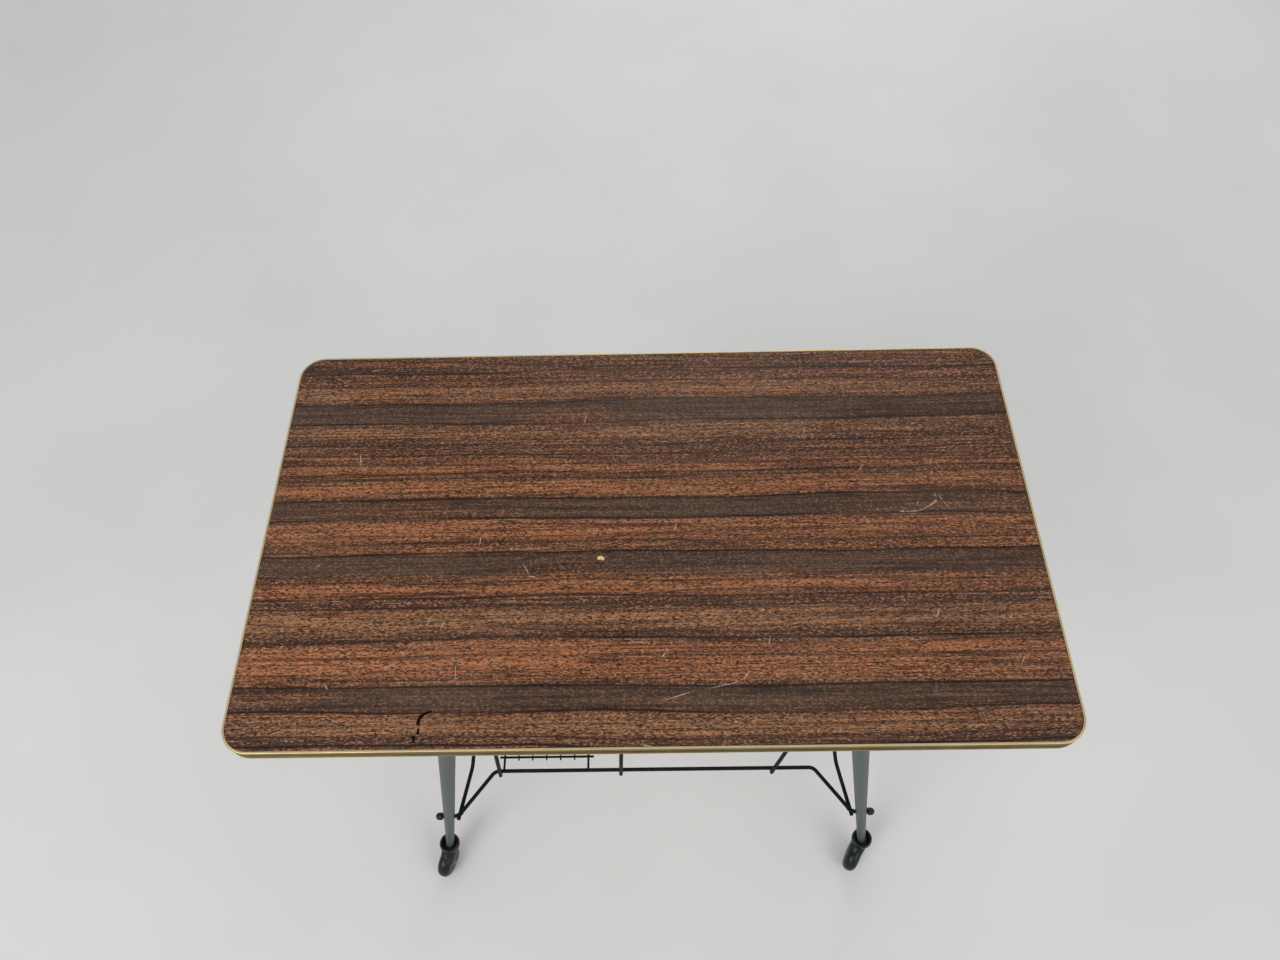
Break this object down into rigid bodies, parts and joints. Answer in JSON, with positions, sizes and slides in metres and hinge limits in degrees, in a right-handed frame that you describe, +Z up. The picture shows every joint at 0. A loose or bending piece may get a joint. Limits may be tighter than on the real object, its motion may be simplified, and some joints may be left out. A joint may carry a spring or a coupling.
{
  "type": "typewriter table",
  "caption": "Small laminated work table with a metal edge strip, splayed tapered legs on hooded swivel casters and a wire rack with upright dividers under the top.",
  "frame": {"origin": "on the floor, under the middle of the top", "axes": "+X along the length of the top, to the right seen from the front; +Y to the back; +Z up"},
  "size_m": [0.7, 0.418, 0.65],
  "materials": {
    "board": "bare particle board",
    "laminate": "satin wood-grain laminate",
    "edge_strip": "dulled, beaded",
    "leg_enamel": "satin slate grey",
    "wire_enamel": "satin black",
    "steel": "zinc plated",
    "caster_plastic": "worn black moulding",
    "wheel": "hard rubber"
  },
  "bodies": {
    "table": {"top_board": "board", "top_laminate": "laminate", "edge_trim": "edge_strip", "leg_plate_front_left": "steel", "leg_plate_front_right": "steel", "leg_plate_back_left": "steel", "leg_plate_back_right": "steel", "leg_front_left": "leg_enamel", "leg_front_right": "leg_enamel", "leg_back_left": "leg_enamel", "leg_back_right": "leg_enamel", "pivot_pin_front_left": "steel", "pivot_pin_front_right": "steel", "pivot_pin_back_left": "steel", "pivot_pin_back_right": "steel", "thrust_washer_front_left": "steel", "thrust_washer_front_right": "steel", "thrust_washer_back_left": "steel", "thrust_washer_back_right": "steel", "cap_nut_front_left": "caster_plastic", "cap_nut_front_right": "caster_plastic", "cap_nut_back_left": "caster_plastic", "cap_nut_back_right": "caster_plastic", "front_rail": "wire_enamel", "back_rail": "wire_enamel", "left_rail": "wire_enamel", "right_rail": "wire_enamel", "divider_left": "wire_enamel", "divider_middle": "wire_enamel", "divider_right": "wire_enamel", "grid_cross_front": "wire_enamel", "grid_cross_back": "wire_enamel", "grid_wire_1": "wire_enamel", "grid_wire_2": "wire_enamel", "grid_wire_3": "wire_enamel", "grid_wire_4": "wire_enamel", "grid_wire_5": "wire_enamel", "grid_wire_6": "wire_enamel", "grid_wire_7": "wire_enamel"},
    "caster_front_left": {"caster_hood_front_left": "caster_plastic", "caster_axle_front_left": "steel"},
    "caster_front_right": {"caster_hood_front_right": "caster_plastic", "caster_axle_front_right": "steel"},
    "caster_back_left": {"caster_hood_back_left": "caster_plastic", "caster_axle_back_left": "steel"},
    "caster_back_right": {"caster_hood_back_right": "caster_plastic", "caster_axle_back_right": "steel"},
    "wheel_front_left": {"caster_wheel_front_left": "wheel"},
    "wheel_front_right": {"caster_wheel_front_right": "wheel"},
    "wheel_back_left": {"caster_wheel_back_left": "wheel"},
    "wheel_back_right": {"caster_wheel_back_right": "wheel"}
  },
  "joints": [
    {"name": "swivel_front_left", "type": "hinge", "parent": "table", "child": "caster_front_left", "pos_m": [-0.2825, -0.1695, 0.04], "axis": [0, 0, 1], "continuous": true},
    {"name": "swivel_front_right", "type": "hinge", "parent": "table", "child": "caster_front_right", "pos_m": [0.2825, -0.1695, 0.04], "axis": [0, 0, 1], "continuous": true},
    {"name": "swivel_back_left", "type": "hinge", "parent": "table", "child": "caster_back_left", "pos_m": [-0.2825, 0.1695, 0.04], "axis": [0, 0, 1], "continuous": true},
    {"name": "swivel_back_right", "type": "hinge", "parent": "table", "child": "caster_back_right", "pos_m": [0.2825, 0.1695, 0.04], "axis": [0, 0, 1], "continuous": true},
    {"name": "spin_front_left", "type": "hinge", "parent": "caster_front_left", "child": "wheel_front_left", "pos_m": [-0.28837, -0.18757, 0.018], "axis": [0.9511, -0.309, 0], "continuous": true},
    {"name": "spin_front_right", "type": "hinge", "parent": "caster_front_right", "child": "wheel_front_right", "pos_m": [0.27358, -0.18628, 0.018], "axis": [0.8829, -0.4695, 0], "continuous": true},
    {"name": "spin_back_left", "type": "hinge", "parent": "caster_back_left", "child": "wheel_back_left", "pos_m": [-0.29142, 0.18628, 0.018], "axis": [-0.8829, -0.4695, 0], "continuous": true},
    {"name": "spin_back_right", "type": "hinge", "parent": "caster_back_right", "child": "wheel_back_right", "pos_m": [0.27663, 0.18757, 0.018], "axis": [-0.9511, -0.309, 0], "continuous": true}
  ]
}
